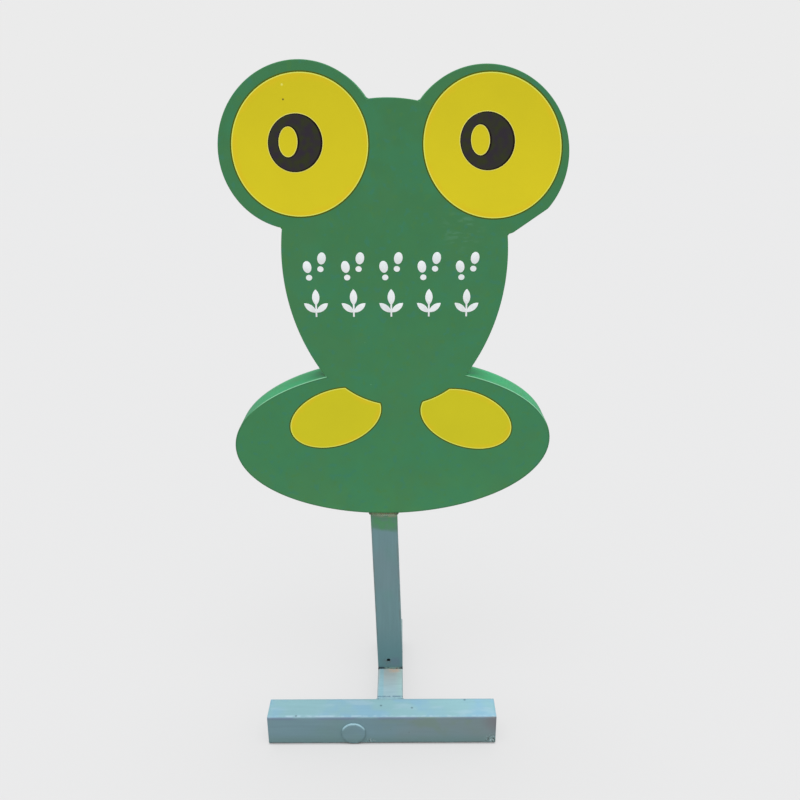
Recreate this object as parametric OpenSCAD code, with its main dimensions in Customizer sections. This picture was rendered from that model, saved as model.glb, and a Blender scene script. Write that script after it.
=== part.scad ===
/* [Sign outline] */
// Width of the body oval
body_w = 456; // [400:2:500]
// Height of the body oval
body_h = 229; // [200:1:250]
// Tilt of the body oval, anticlockwise as seen from the front
body_tilt = 1.8; // [-3:0.1:3]
// Greatest width of the head
head_w = 301; // [271:2:331]
// Radius of the head's two long side curves
head_side_r = 288; // [270:2:330]
// Sideways shift of the head from the middle of the body
head_shift = 5; // [-10:1:12]
// Height of the head's widest level above the middle of the body
head_rise = 268.5; // [250:0.5:285]
// Height of the crown above the head's widest level
crown_rise = 199; // [185:1:205]
// Radius of the crown's curve
crown_r = 200; // [200:2:380]
// Sideways shift of the crown's top from the middle of the head
crown_shift = -9; // [-12:1:12]
// Long width of the left eye's disc, which is slightly oval
left_eye_l = 209; // [196:1:216]
// Short width of the left eye's disc
left_eye_w = 200.5; // [190:0.5:208]
// Distance of the left eye's disc from the middle of the head
left_eye_out = 121; // [110:0.5:128]
// Height of the left eye's disc above the head's widest level
left_eye_rise = 140; // [124:0.5:148]
// Long width of the right eye's disc, which is slightly oval
right_eye_l = 213.5; // [206:0.5:220]
// Short width of the right eye's disc
right_eye_w = 205; // [198:0.5:212]
// Distance of the right eye's disc from the middle of the head
right_eye_out = 118; // [108:0.5:125]
// Height of the right eye's disc above the head's widest level
right_eye_rise = 132; // [120:1:144]
// Slope of each disc's long axis, which rises towards the crown
eye_tilt = 48; // [36:1:60]
// Depth of the straight cut low on the right eye's outer side
right_eye_flat = 3.75; // [1:0.25:8]
// Direction of that straight cut, below the horizontal
right_eye_flat_angle = 55; // [48:1:58]

/* [Sign box] */
// Depth of the sign from its front face to its back face
box_depth = 50; // [46:1:70]
// Thickness of the sheet in the faces and the bands
sheet_t = 1.5; // [1:0.1:2.5]
// Thickness of the strip inside that holds the two faces apart
rib_t = 2; // [1.5:0.5:4]
// Distance of the rib on the post's top below the head's widest level
head_rib_drop = 22; // [10:1:40]

/* [Eyes, patches and motifs] */
// Thickness of the coloured film
film_t = 0.3; // [0.2:0.05:0.5]
// Long width of the left yellow iris, which is slightly oval
left_iris_l = 176.5; // [160:0.5:182]
// Long width of the right yellow iris
right_iris_l = 180.5; // [160:0.5:182]
// Short width of each yellow iris
iris_w = 170; // [156:0.5:176]
// Slope of each iris's long axis, which rises towards the crown
iris_tilt = 48; // [36:1:60]
// Sideways shift of the left iris on its disc
left_iris_shift = 2; // [-3:0.5:5]
// Upward shift of the left iris on its disc
left_iris_lift = 1.5; // [-3:0.5:5]
// Sideways shift of the right iris on its disc
right_iris_shift = 6.5; // [1:0.5:9]
// Upward shift of the right iris on its disc
right_iris_lift = 7.5; // [1:0.5:9]
// Long width of each black pupil, which is slightly oval
pupil_l = 71.5; // [58:0.5:84]
// Short width of each black pupil
pupil_w = 68; // [56:0.5:82]
// Slope of each pupil's long axis, which rises towards the crown
pupil_tilt = 57; // [40:1:70]
// Distance of the left pupil from its iris's middle, towards the left
left_pupil_shift = 5.5; // [0:0.5:12]
// Distance of the left pupil above its iris's middle
left_pupil_lift = 4; // [0:0.5:12]
// Distance of the right pupil from its iris's middle, towards the left
right_pupil_shift = 6.5; // [0:0.5:12]
// Distance of the right pupil above its iris's middle
right_pupil_lift = 7.5; // [0:0.5:12]
// Width of the oval glint cut in each pupil
glint_w = 24; // [16:1:28]
// Height of the oval glint cut in each pupil
glint_h = 37; // [24:1:42]
// Lean of each glint, its top towards the crown
glint_lean = 4; // [0:1:12]
// Distance of each glint from its pupil's middle, towards the left
glint_shift = 9; // [4:0.5:12]
// Distance of each glint above its pupil's middle
glint_lift = 1.5; // [-4:0.5:4]
// Length of each yellow belly patch
patch_l = 136; // [110:1:144]
// Height of each yellow belly patch
patch_h = 84.5; // [68:0.5:88]
// Tilt of each belly patch, outer end down
patch_tilt = 20.5; // [12:0.5:26]
// Distance of each belly patch from the line between them
patch_out = 93.5; // [86:0.5:98]
// Sideways shift of the line between the patches
patch_shift = 12.5; // [4:0.5:14]
// Height of the left patch's middle above the middle of the body
left_patch_rise = 40; // [30:0.5:42]
// Height of the right patch's middle above the middle of the body
right_patch_rise = 37.5; // [30:0.5:42]
// Radius of the chin that cuts into the patches
chin_r = 119.5; // [106:0.5:122]
// Sideways shift of the chin curve's middle from the middle of the body
chin_shift = 9; // [4:0.5:14]
// Height of the chin curve's middle above the middle of the body
chin_rise = 179; // [170:1:186]
// Distance between the middles of neighbouring motifs in a row
motif_pitch = 51; // [44:1:54]
// Height of each motif
motif_h = 38; // [28:1:40]
// Height of the upper row's middle below the head's widest level
upper_row_drop = 10.5; // [4:0.5:18]
// Distance between the middles of the two rows
row_gap = 50; // [44:1:58]

/* [Post] */
// Width of the square post
post_w = 40; // [34:1:44]
// Wall thickness of the post
post_wall = 2; // [1:0.5:2.5]
// Outer radius of the post's corners
post_corner_r = 3; // [3:0.5:8]
// Lean of the post towards the left, in degrees
post_lean = 1.6; // [0:0.1:2.5]
// Length of post that shows between the base and the sign
post_show = 288; // [200:1:420]
// Distance of the post's foot left of the middle of the sign
post_offset = 6; // [-6:0.5:12]
// Diameter of the drain hole low in the post's front
drain_d = 6; // [3:0.5:8]
// Distance of the drain hole left of the middle of the post's foot
drain_shift = 3; // [-6:0.5:6]
// Height of the drain hole above the base
drain_rise = 16; // [12:1:40]

/* [Base] */
// Height of the base's rectangular tube
tube_h = 50; // [40:1:60]
// Width of the base's rectangular tube
tube_w = 40; // [36:1:46]
// Wall thickness of the base's tube
tube_wall = 1.5; // [1:0.5:2]
// Outer radius of the base tube's corners
tube_corner_r = 2.5; // [2.5:0.5:8]
// Length of the crossbar in front
bar_l = 346; // [280:2:430]
// Distance of the crossbar's middle left of the middle of the sign
bar_offset = 18; // [-10:1:30]
// Whole depth of the base from the crossbar's front to the tail's end
base_depth = 240; // [200:2:480]
// Length of tail beam that shows between the crossbar and the post
tail_show = 69; // [50:1:100]
// Thickness of the plates that close the tube ends
end_plate_t = 2; // [1:0.5:4]
// Diameter of the round cover on the crossbar's front
cover_d = 34; // [24:1:38]
// Thickness of the round cover
cover_t = 2.5; // [1.5:0.5:4]
// Distance of the round cover left of the middle of the sign
cover_offset = 61; // [40:1:90]
// Height of the round cover's middle above the ground
cover_z = 20; // [19:0.5:21]

/* [Hidden] */
$fn = 96;
oval_steps = 120;
small_oval_steps = 48;
print_steps = 24;
motif_count = 5;
weld_r = 3;
// The bead over a flush seam is wider, and its middle lies under the surface
seam_bead_r = 3.4;
seam_bead_sink = 1.5;
// Width and height of the thin weld round the cover
cover_weld_w = 1.5;
// How far a cutting tool runs past what it cuts
over = 1;
// Longer than the whole sign, for tools that cut all of it
far = 1200;

green = [0.25, 0.48, 0.31];
yellow = [0.84, 0.78, 0.16];
black = [0.18, 0.17, 0.19];
white = [0.93, 0.94, 0.92];
grey_green = [0.36, 0.50, 0.52];
bare_steel = [0.55, 0.55, 0.54];
rust = [0.35, 0.24, 0.18];

body_z = tube_h + post_show + body_h / 2;
head_z = body_z + head_rise;
crown_z = head_z + crown_rise;
left_eye = [head_shift - left_eye_out, head_z + left_eye_rise];
right_eye = [head_shift + right_eye_out, head_z + right_eye_rise];
left_iris_at = left_eye + [left_iris_shift, left_iris_lift];
right_iris_at = right_eye + [right_iris_shift, right_iris_lift];

// The crossbar's front, placed so that the origin is under the middle of the whole object
bar_front = -(base_depth - cover_t) / 2;
bar_back = bar_front + tube_w;
post_front = bar_back + tail_show;
// The front sheet lies over the post's front, so its outer side is one sheet nearer
face_front = post_front - sheet_t;
face_back = face_front + box_depth;
band_depth = box_depth - 2 * sheet_t;
post_x = -post_offset;
bar_x = -bar_offset;
head_rib_z = head_z - head_rib_drop;
eye_rib_z = (left_eye[1] + right_eye[1]) / 2;
// The post's middle where it enters the sign
collar_x = post_x - post_show * tan(post_lean);
collar_z = tube_h + post_show;

// Points of an oval of half sizes a and b, turned by tilt
function oval(a, b, tilt = 0, steps = small_oval_steps) = [
    for (i = [0 : steps - 1])
        let (u = a * cos(i * 360 / steps), v = b * sin(i * 360 / steps))
            [u * cos(tilt) - v * sin(tilt), u * sin(tilt) + v * cos(tilt)]
];

// Stands a flat drawing up, with its x to the right and its y upwards
module sheet(front, thickness) {
    translate([0, front + thickness, 0])
        rotate([90, 0, 0])
            linear_extrude(thickness)
                children();
}

// A plain box from its low corner
module block(low, size) {
    translate(low)
        cube(size);
}

// A rectangle about the origin with round corners
module round_rect(size, r) {
    square([size[0] - 2 * r, size[1]], center = true);
    square([size[0], size[1] - 2 * r], center = true);
    for (x = [-1, 1], y = [-1, 1])
        translate([x * (size[0] / 2 - r), y * (size[1] / 2 - r)])
            circle(r = r);
}

// The wall of a tube seen from its end
module tube_shape(size, wall, r) {
    difference() {
        round_rect(size, r);
        round_rect([size[0] - 2 * wall, size[1] - 2 * wall], r - wall);
    }
}

module body_shape(inset = 0) {
    translate([0, body_z])
        polygon(oval(body_w / 2 - inset, body_h / 2 - inset, body_tilt, oval_steps));
}

module head_shape(inset = 0) {
    side_x = head_side_r - head_w / 2;
    intersection() {
        translate([head_shift + side_x, head_z])
            circle(r = head_side_r - inset);
        translate([head_shift - side_x, head_z])
            circle(r = head_side_r - inset);
        translate([head_shift + crown_shift, crown_z - crown_r])
            circle(r = crown_r - inset);
    }
}

module left_eye_shape(inset = 0) {
    translate(left_eye)
        polygon(oval(left_eye_l / 2 - inset, left_eye_w / 2 - inset, eye_tilt, oval_steps));
}

module right_eye_shape(inset = 0) {
    translate(right_eye)
        difference() {
            polygon(oval(right_eye_l / 2 - inset, right_eye_w / 2 - inset, -eye_tilt, oval_steps));
            rotate(-right_eye_flat_angle)
                translate([right_eye_l / 2 - right_eye_flat - inset, -right_eye_l / 2])
                    square(right_eye_l);
        }
}

module sign_shape(inset = 0) {
    body_shape(inset);
    head_shape(inset);
    left_eye_shape(inset);
    right_eye_shape(inset);
}

// The bent strip that closes the sign all round, seen from the front
module band_shape() {
    difference() {
        sign_shape();
        sign_shape(sheet_t);
    }
}

// The post's two side lines, seen from the front
module post_shape() {
    translate([post_x, tube_h])
        rotate(post_lean)
            translate([-post_w / 2, -post_w])
                square([post_w, head_rib_z - tube_h + 2 * post_w]);
}

// Everything on one side of the post's middle at the collar
module half_plane(side) {
    translate([side > 0 ? collar_x : collar_x - far, 0])
        square([far, far]);
}

module panel(front) {
    color(green)
        sheet(front, sheet_t)
            sign_shape();
}

module band() {
    color(green)
        sheet(face_front + sheet_t, band_depth)
            children();
}

module face_panel() {
    panel(face_front);
}

module back_panel() {
    panel(face_back - sheet_t);
}

module left_eye_band() {
    band()
        intersection() {
            band_shape();
            left_eye_shape();
        }
}

module right_eye_band() {
    band()
        intersection() {
            band_shape();
            right_eye_shape();
        }
}

// The stretch of band on the head alone, between two heights
module head_band(low, high, from_x, to_x) {
    band()
        difference() {
            intersection() {
                band_shape();
                head_shape();
                translate([from_x, low])
                    square([to_x - from_x, high - low]);
            }
            left_eye_shape();
            right_eye_shape();
            body_shape();
        }
}

module crown_band() {
    head_band(eye_rib_z, far, -far, far);
}

module left_cheek_band() {
    head_band(0, eye_rib_z, -far, head_shift);
}

module right_cheek_band() {
    head_band(0, eye_rib_z, head_shift, far);
}

// One half of the body's band, notched where the post passes through it
module body_band(side) {
    difference() {
        band()
            intersection() {
                band_shape();
                body_shape();
                half_plane(side);
            }
        post_solid();
    }
}

module body_band_left() {
    body_band(-1);
}

module body_band_right() {
    body_band(1);
}

// A flat strip across the sign's inside, lying level
module rib(level) {
    color(bare_steel)
        sheet(face_front + sheet_t, band_depth)
            intersection() {
                sign_shape(sheet_t);
                translate([-far / 2, level])
                    square([far, rib_t]);
            }
}

module head_rib() {
    rib(head_rib_z);
}

module eye_rib() {
    rib(eye_rib_z);
}

// A strip from the body's band to the side of the post
module body_rib(side) {
    difference() {
        intersection() {
            rib(body_z);
            sheet(face_front, box_depth)
                half_plane(side);
        }
        sheet(face_front, box_depth)
            post_shape();
    }
}

module body_rib_left() {
    body_rib(-1);
}

module body_rib_right() {
    body_rib(1);
}

// Film stuck on the front face, with layers under it already there
module film(tint, layers_under = 0) {
    color(tint)
        sheet(face_front - (layers_under + 1) * film_t, film_t)
            children();
}

// An iris or a pupil leans towards the crown, so side is -1 on the left and 1 on the right
module iris(at, length, side) {
    film(yellow)
        translate(at)
            polygon(oval(length / 2, iris_w / 2, -side * iris_tilt, oval_steps));
}

module pupil(at, side) {
    film(black, 1)
        translate(at)
            difference() {
                polygon(oval(pupil_l / 2, pupil_w / 2, -side * pupil_tilt, oval_steps));
                translate([-glint_shift, glint_lift])
                    polygon(oval(glint_w / 2, glint_h / 2, side * glint_lean));
            }
}

module left_iris() {
    iris(left_iris_at, left_iris_l, -1);
}

module right_iris() {
    iris(right_iris_at, right_iris_l, 1);
}

module left_pupil() {
    pupil(left_iris_at + [-left_pupil_shift, left_pupil_lift], -1);
}

module right_pupil() {
    pupil(right_iris_at + [-right_pupil_shift, right_pupil_lift], 1);
}

// An oval patch with the chin's curve cut out of its upper inner side
module belly_patch(side, rise) {
    film(yellow)
        difference() {
            translate([patch_shift + side * patch_out, body_z + rise])
                polygon(oval(patch_l / 2, patch_h / 2, -side * patch_tilt, oval_steps));
            translate([chin_shift, body_z + chin_rise])
                circle(r = chin_r);
        }
}

module left_belly_patch() {
    belly_patch(-1, left_patch_rise);
}

module right_belly_patch() {
    belly_patch(1, right_patch_rise);
}

// Lays five motifs in a row about the middle of the sign
module motif_row(level) {
    film(white)
        for (i = [0 : motif_count - 1])
            translate([(i - (motif_count - 1) / 2) * motif_pitch, level])
                children();
}

// A shoe print: a broad sole in front and a small heel behind it
module shoe_print() {
    sole_l = 0.42 * motif_h;
    sole_w = 0.30 * motif_h;
    heel_l = 0.20 * motif_h;
    heel_w = 0.22 * motif_h;
    sole_rise = 0.13 * motif_h;
    heel_drop = 0.25 * motif_h;
    translate([0, sole_rise])
        polygon(oval(sole_w / 2, sole_l / 2, steps = print_steps));
    translate([0, -heel_drop])
        polygon(oval(heel_w / 2, heel_l / 2, steps = print_steps));
}

// Two shoe prints side by side, one a step ahead of the other
module step_pair() {
    spread = 0.24 * motif_h;
    stride = 0.15 * motif_h;
    turn = 8;
    translate([-spread, -stride])
        rotate(turn)
            shoe_print();
    translate([spread, stride])
        rotate(-turn)
            shoe_print();
}

// A pointed leaf standing on the origin
module leaf(l, w) {
    bow = (l * l + w * w) / (4 * w);
    intersection() {
        translate([bow - w / 2, l / 2])
            circle(r = bow);
        translate([w / 2 - bow, l / 2])
            circle(r = bow);
    }
}

// A stem with one leaf at its tip and a pair below it
module sprig() {
    stem_w = 0.06 * motif_h;
    stem_l = 0.62 * motif_h;
    tip_leaf_l = 0.58 * motif_h;
    tip_leaf_w = 0.26 * motif_h;
    side_leaf_l = 0.54 * motif_h;
    side_leaf_w = 0.22 * motif_h;
    side_leaf_rise = 0.16 * motif_h;
    side_leaf_turn = 52;
    translate([0, -motif_h / 2]) {
        translate([-stem_w / 2, 0])
            square([stem_w, stem_l]);
        translate([0, motif_h - tip_leaf_l])
            leaf(tip_leaf_l, tip_leaf_w);
        for (side = [-1, 1])
            translate([0, side_leaf_rise])
                rotate(side * side_leaf_turn)
                    leaf(side_leaf_l, side_leaf_w);
    }
}

module upper_motif_row() {
    motif_row(head_z - upper_row_drop)
        step_pair();
}

module lower_motif_row() {
    motif_row(head_z - upper_row_drop - row_gap)
        sprig();
}

// A drawing drawn out along the leaning post, past both its ends
module along_post() {
    translate([post_x, post_front + post_w / 2, tube_h])
        rotate([0, -post_lean, 0])
            translate([0, 0, -post_w])
                linear_extrude(far)
                    children();
}

module post_solid() {
    along_post()
        round_rect([post_w, post_w], post_corner_r);
}

module post() {
    color(grey_green)
        difference() {
            intersection() {
                along_post()
                    tube_shape([post_w, post_w], post_wall, post_corner_r);
                block([-far / 2, -far / 2, tube_h], [far, far, head_rib_z - tube_h]);
            }
            translate([post_x - drain_shift, post_front + post_wall + over, tube_h + drain_rise])
                rotate([90, 0, 0])
                    cylinder(h = post_wall + 2 * over, d = drain_d);
        }
}

// A weld bead along the x or the y axis, from its first end
module bead_along_x(start, length) {
    translate(start)
        rotate([0, 90, 0])
            cylinder(h = length, r = weld_r);
}

module bead_along_y(start, length) {
    translate(start)
        rotate([-90, 0, 0])
            cylinder(h = length, r = weld_r);
}

// Beads round the post where it enters the sign from below
module collar_weld() {
    left = collar_x - post_w / 2;
    post_back = post_front + post_w;
    color(rust)
        difference() {
            union() {
                bead_along_x([left, post_front, collar_z], post_w);
                bead_along_x([left, post_back, collar_z], post_w);
                bead_along_y([left, post_front, collar_z], post_w);
                bead_along_y([left + post_w, post_front, collar_z], post_w);
            }
            sheet(face_front, box_depth)
                sign_shape();
            sheet(face_front - weld_r, weld_r)
                sign_shape();
            post_solid();
        }
}

// Beads round the post's foot, on top of the tail beam
module foot_weld() {
    left = post_x - post_w / 2;
    post_back = post_front + post_w;
    color(rust)
        difference() {
            union() {
                bead_along_x([left, post_front, tube_h], post_w);
                bead_along_x([left, post_back, tube_h], post_w);
            }
            post_solid();
            tail_solid(base_depth - tube_w);
        }
}

// A drawing that stands on the ground, drawn out along the crossbar from its left end
module along_crossbar(start, length) {
    translate([bar_x - bar_l / 2 + start, bar_front + tube_w / 2, tube_h / 2])
        rotate([90, 0, 90])
            linear_extrude(length)
                children();
}

// The same along the tail beam, from the crossbar's back
module along_tail(start, length) {
    translate([post_x, bar_back + start + length, tube_h / 2])
        rotate([90, 0, 0])
            linear_extrude(length)
                children();
}

module base_tube_shape() {
    tube_shape([tube_w, tube_h], tube_wall, tube_corner_r);
}

module base_outer_shape() {
    round_rect([tube_w, tube_h], tube_corner_r);
}

module tail_solid(length) {
    along_tail(0, length)
        base_outer_shape();
}

module crossbar() {
    color(grey_green)
        along_crossbar(end_plate_t, bar_l - 2 * end_plate_t)
            base_tube_shape();
}

module crossbar_plate(start) {
    color(grey_green)
        along_crossbar(start, end_plate_t)
            base_outer_shape();
}

module crossbar_left_plate() {
    crossbar_plate(0);
}

module crossbar_right_plate() {
    crossbar_plate(bar_l - end_plate_t);
}

module tail_beam() {
    color(grey_green)
        along_tail(0, base_depth - tube_w - end_plate_t)
            base_tube_shape();
}

module tail_end_plate() {
    color(grey_green)
        along_tail(base_depth - tube_w - end_plate_t, end_plate_t)
            base_outer_shape();
}

// The bead over the flush seam from its end: upper half of a circle, less both tubes
module seam_bead_shape() {
    intersection() {
        translate([0, -seam_bead_sink])
            circle(r = seam_bead_r);
        difference() {
            translate([-tube_w / 2, -seam_bead_sink])
                square([tube_w, tube_h]);
            translate([-tube_w / 2, -tube_h / 2])
                base_outer_shape();
            translate([0, -tube_h])
                square([tube_w, tube_h]);
        }
    }
}

// The quarter round bead in the upright corner beside the tail
module corner_bead_shape() {
    intersection() {
        circle(r = weld_r);
        square(2 * weld_r);
    }
}

// Beads over the top and down both sides where the tail meets the crossbar,
// each as long as the flat of the tube between its round corners
module tail_weld() {
    color(rust) {
        translate([post_x - tube_w / 2 + tube_corner_r, bar_back, tube_h])
            rotate([90, 0, 90])
                linear_extrude(tube_w - 2 * tube_corner_r)
                    seam_bead_shape();
        for (side = [0, 1])
            translate([post_x, bar_back, tube_corner_r])
                mirror([side, 0, 0])
                    translate([tube_w / 2, 0, 0])
                        linear_extrude(tube_h - 2 * tube_corner_r)
                            corner_bead_shape();
    }
}

module round_cover() {
    color(grey_green)
        translate([-cover_offset, bar_front, cover_z])
            rotate([90, 0, 0])
                cylinder(h = cover_t, d = cover_d);
}

// A thin ring of weld round the cover's edge
module cover_weld() {
    color(grey_green)
        translate([-cover_offset, bar_front, cover_z])
            rotate([90, 0, 0])
                rotate_extrude()
                    translate([cover_d / 2, 0])
                        polygon([[0, 0], [cover_weld_w, 0], [0, cover_weld_w]]);
}

face_panel();
back_panel();
left_eye_band();
right_eye_band();
crown_band();
left_cheek_band();
right_cheek_band();
body_band_left();
body_band_right();
head_rib();
eye_rib();
body_rib_left();
body_rib_right();
left_iris();
right_iris();
left_pupil();
right_pupil();
left_belly_patch();
right_belly_patch();
upper_motif_row();
lower_motif_row();
post();
collar_weld();
foot_weld();
crossbar();
tail_beam();
tail_weld();
crossbar_left_plate();
crossbar_right_plate();
tail_end_plate();
round_cover();
cover_weld();
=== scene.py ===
from math import asin, atan2, cos, dist, hypot, radians, sin, sqrt, tan, tau

import bmesh
import bpy
from mathutils import Matrix, Vector, kdtree, noise
from mathutils.geometry import delaunay_2d_cdt


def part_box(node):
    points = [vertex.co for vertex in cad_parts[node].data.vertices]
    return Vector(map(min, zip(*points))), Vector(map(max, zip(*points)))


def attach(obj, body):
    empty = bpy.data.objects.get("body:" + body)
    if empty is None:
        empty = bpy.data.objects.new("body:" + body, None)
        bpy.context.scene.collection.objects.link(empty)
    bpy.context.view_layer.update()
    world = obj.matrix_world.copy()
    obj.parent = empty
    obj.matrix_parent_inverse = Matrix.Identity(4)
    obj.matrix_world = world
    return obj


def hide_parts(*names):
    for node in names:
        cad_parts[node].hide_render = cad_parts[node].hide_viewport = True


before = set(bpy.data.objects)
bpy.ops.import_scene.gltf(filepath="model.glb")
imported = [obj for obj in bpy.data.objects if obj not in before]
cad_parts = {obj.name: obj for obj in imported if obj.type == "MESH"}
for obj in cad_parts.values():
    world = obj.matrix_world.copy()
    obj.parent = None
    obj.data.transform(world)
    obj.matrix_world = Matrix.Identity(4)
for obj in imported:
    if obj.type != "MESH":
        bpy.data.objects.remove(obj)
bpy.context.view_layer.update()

# Crossbar: a length of rectangular steel tube, 50 mm high and 40 mm wide, that lies on the ground
# across the front. Its corners are rolled round. The welded base is brushed with blue-grey enamel,
# which has gone patchy with age, pale on top and chipped at the right end.

mm = 0.001


class Wire:
    """One output of a node tree. Sums written on it become Math nodes."""

    def __init__(self, tree, socket):
        self.tree = tree
        self.socket = socket

    def maths(self, operation, *values):
        return self.tree.add("ShaderNodeMath", {"operation": operation}, dict(enumerate(values)))

    __add__ = __radd__ = lambda self, other: self.maths("ADD", self, other)
    __mul__ = __rmul__ = lambda self, other: self.maths("MULTIPLY", self, other)
    __sub__ = lambda self, other: self.maths("SUBTRACT", self, other)
    __rsub__ = lambda self, other: self.maths("SUBTRACT", other, self)
    __truediv__ = lambda self, other: self.maths("DIVIDE", self, other)

    def fraction(self):
        return self.maths("FRACT", self)

    def rise(self, low, high):
        """0 at low and 1 at high, eased in between. It falls where low is above high."""
        return self.tree.add("ShaderNodeMapRange", {"interpolation_type": "SMOOTHSTEP"},
                             {0: self, 1: low, 2: high})


class Tree:
    """A node tree that is being built."""

    def __init__(self, tree):
        self.tree = tree
        self.nodes = tree.nodes

    def add(self, kind, settings=None, sockets=None, output=0):
        """Adds a node: first its settings, then its inputs' values or wires. Gives one output."""
        node = self.nodes.new(kind)
        for name, value in (settings or {}).items():
            setattr(node, name, value)
        for name, value in (sockets or {}).items():
            self.feed(node.inputs[name], value)
        return Wire(self, node.outputs[output]) if len(node.outputs) else node

    def feed(self, socket, value):
        if isinstance(value, Wire):
            self.tree.links.new(value.socket, socket)
        else:
            socket.default_value = (*value, 1) if socket.type == "RGBA" else value


class Finish(Tree):
    """A material round one Principled shader. Its patterns lie on Object coordinates, in metres."""

    def __init__(self, name, shine=0.3):
        self.material = bpy.data.materials.new(name)
        self.material.use_nodes = True
        super().__init__(self.material.node_tree)
        self.shader = self.nodes["Principled BSDF"]
        self.shader.inputs["Specular IOR Level"].default_value = shine
        self.place = self.add("ShaderNodeTexCoord", output="Object")
        self.edge_wear_and_light = self.add("ShaderNodeAttribute", {"attribute_name": "edge_wear_and_light"}, output="Fac")

    def along(self, axis):
        return self.add("ShaderNodeSeparateXYZ", {}, {0: self.place}, axis)

    def cloud(self, size, detail=3.0, stretch=(1, 1, 1), shift=0.0):
        """Noise about 0.5 with clumps of that size, drawn out along an axis scaled below 1."""
        spot = self.add("ShaderNodeMapping", {}, {"Vector": self.place, "Location": (shift,) * 3,
                                                  "Scale": stretch})
        return self.add("ShaderNodeTexNoise", {}, {"Vector": spot, "Scale": 1 / size,
                                                   "Detail": detail})

    def grains(self, spacing, size, shift=0.0):
        """Scattered round specks: 1 inside each and 0 outside."""
        spot = self.add("ShaderNodeMapping", {}, {"Vector": self.place, "Location": (shift,) * 3})
        gap = self.add("ShaderNodeTexVoronoi", {}, {"Vector": spot, "Scale": 1 / spacing})
        return gap.rise(size / spacing, 0.6 * size / spacing)

    def near(self, point, reach):
        """1 at a point, falling to 0 at that reach from it."""
        gap = self.add("ShaderNodeVectorMath", {"operation": "DISTANCE"},
                       {0: self.place, 1: point}, "Value")
        return gap.rise(reach, 0.3 * reach)

    def mix(self, under, over, share):
        return self.add("ShaderNodeMix", {"data_type": "RGBA"}, {0: share, 6: under, 7: over}, 2)

    def shade(self, colour, amount):
        return self.add("ShaderNodeVectorMath", {"operation": "SCALE"},
                        {"Vector": colour, "Scale": amount})

    def lay(self, colour, share):
        """Covers that share of the tint so far with a colour."""
        self.tint = self.mix(self.tint, colour, share)

    def dim(self, amount):
        self.tint = self.shade(self.tint, amount)

    def close(self, roughness, relief, depth):
        """Feeds the shader. The relief is bump of that depth in metres."""
        self.feed(self.shader.inputs["Base Color"], self.tint)
        self.feed(self.shader.inputs["Roughness"], roughness)
        bump = self.add("ShaderNodeBump", {}, {"Strength": 1.0, "Distance": depth,
                                               "Height": relief})
        self.feed(self.shader.inputs["Normal"], bump)
        return self


def section(width, height, radius):
    """A rectangle with round corners: 64 rows of across, up, the way out, and nearness to a corner."""
    middles = [((width / 2 - radius) * a, (height / 2 - radius) * b)
               for a, b in ((1, 1), (-1, 1), (-1, -1), (1, -1))]
    ring = []
    for turn, (across, up) in enumerate(middles):
        for step in range(9):
            angle = radians(90 * (turn + step / 8))
            out = (cos(angle), sin(angle))
            corner = sin(radians(180 * step / 8))
            ring.append((across + radius * out[0], up + radius * out[1], *out, corner))
        ahead = middles[(turn + 1) % 4]
        for step in range(1, 8):
            share = step / 8
            ring.append((across + (ahead[0] - across) * share + radius * out[0],
                         up + (ahead[1] - up) * share + radius * out[1], *out, 0.0))
    return ring


def quarter(radius):
    """Points from (radius, 0) to (0, radius) on a round edge between two sides, curved outwards."""
    turns = [radians(90 * step / 5) for step in range(6)]
    return [(radius * (1 - sin(turn)), radius * (1 - cos(turn))) for turn in turns]


def skin(rings, joined=False):
    """Points and faces between rings of equal count. The ends are capped, or joined to each other."""
    count = len(rings[0])
    faces = []
    for i in range(len(rings) if joined else len(rings) - 1):
        a, b = i * count, (i + 1) % len(rings) * count
        faces += [(a + j, a + (j + 1) % count, b + (j + 1) % count, b + j) for j in range(count)]
    if not joined:
        last = (len(rings) - 1) * count
        faces += [tuple(reversed(range(count))), tuple(range(last, last + count))]
    return [p for ring in rings for p in ring], faces


def tube(start, end, outer, wall, place, finish):
    """The closed wall of a tube, slightly uneven, with a shallow groove at its welded ends."""
    groove, dent, dent_size = 0.25 * mm, 0.15 * mm, 45 * mm
    width, height, radius = outer
    bore = section(width - 2 * wall, height - 2 * wall, radius - wall)
    gap, lip = 4 * mm, 0.5 * mm
    count = round((end - start) / gap)
    stations = [start + lip + (end - start - 2 * lip) * i / count for i in range(count + 1)]
    rings, edge_wear_and_light = [], []
    for along in (start, *stations, end):
        ring = []
        for across, up, out_across, out_up, corner in section(*outer):
            lift = dent * noise.noise(Vector(place(along, across, up)) / dent_size)
            lift -= groove if along in (start, end) else 0.0
            ring.append(place(along, across + out_across * lift, up + out_up * lift))
            edge_wear_and_light.append(corner)
        rings.append(ring)
    for along in (end, start):
        rings.append([place(along, row[0], row[1]) for row in bore])
        edge_wear_and_light += [0.0] * len(bore)
    return solid(*skin(rings, joined=True), finish, edge_wear_and_light)


def solid(points, faces, finish, edge_wear_and_light=None):
    """A mesh in its finish, with its edge wear and its painted light and shade at each point."""
    mesh = bpy.data.meshes.new("solid")
    mesh.from_pydata(points, [], faces)
    mesh.materials.append(finish.material)
    if edge_wear_and_light:
        mesh.attributes.new("edge_wear_and_light", "FLOAT", "POINT").data.foreach_set("value", edge_wear_and_light)
    return mesh


def outward(mesh):
    """Turns a closed mesh's faces to point out of it."""
    work = bmesh.new()
    work.from_mesh(mesh)
    bmesh.ops.recalc_face_normals(work, faces=work.faces)
    work.to_mesh(mesh)
    work.free()
    return mesh


def placed(name, data):
    """A new object in the scene, at the origin."""
    made = bpy.data.objects.new(name, data)
    bpy.context.scene.collection.objects.link(made)
    return made


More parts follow.
